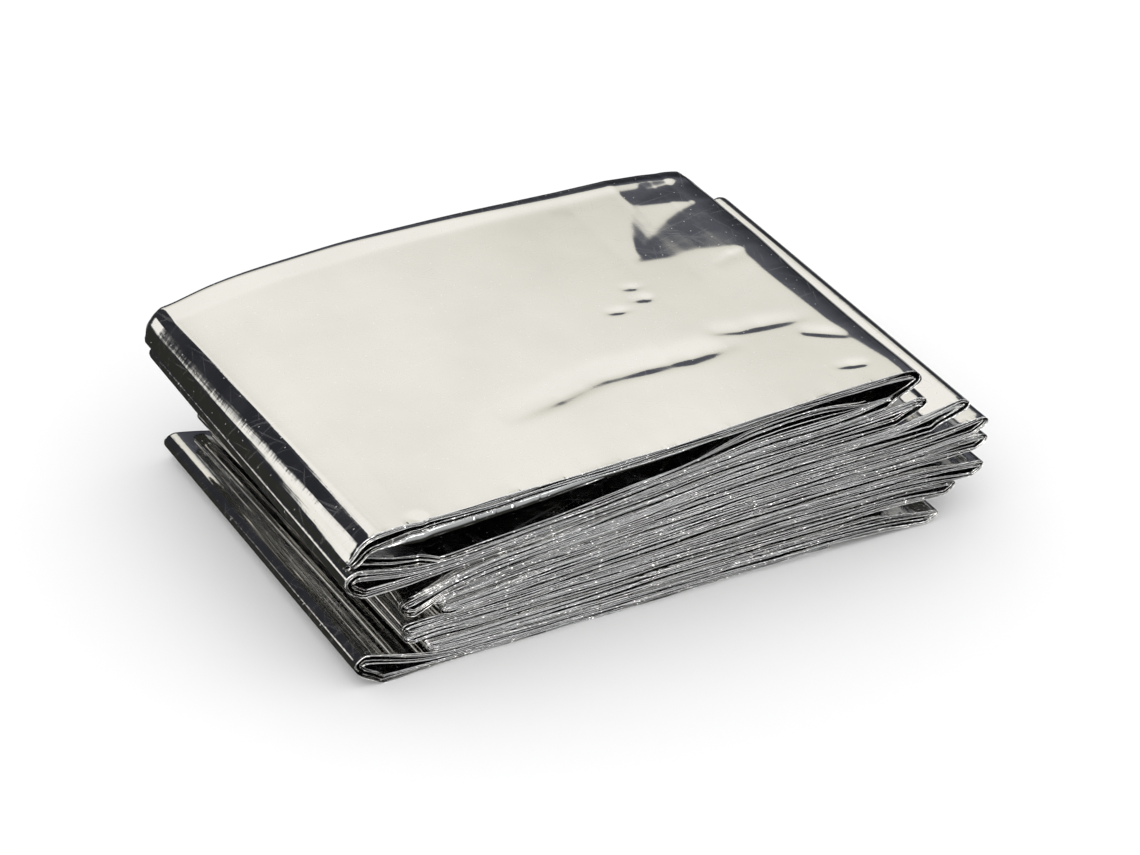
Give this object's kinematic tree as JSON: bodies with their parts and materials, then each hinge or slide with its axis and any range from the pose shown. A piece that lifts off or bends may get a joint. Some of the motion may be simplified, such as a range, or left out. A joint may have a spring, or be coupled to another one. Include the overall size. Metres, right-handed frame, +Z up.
{
  "type": "folded emergency foil blanket",
  "caption": "Aluminised film blanket folded lengthwise to a narrow strip and then back and forth into a flat springy stack that rests on its lowest panel.",
  "frame": {"origin": "middle of the stack's outline, on the surface that it rests on", "axes": "+X along the panels towards the higher right-hand folds, +Y from the open strip edges at the front to the wrapped edge at the back, +Z up"},
  "size_m": [0.1328, 0.0842, 0.037],
  "materials": {
    "aluminised_film": "thin aluminised polyester film, mirror bright on both sides, finely scratched along its creases"
  },
  "bodies": {
    "root": {"foil_blanket": "aluminised_film"}
  },
  "joints": []
}
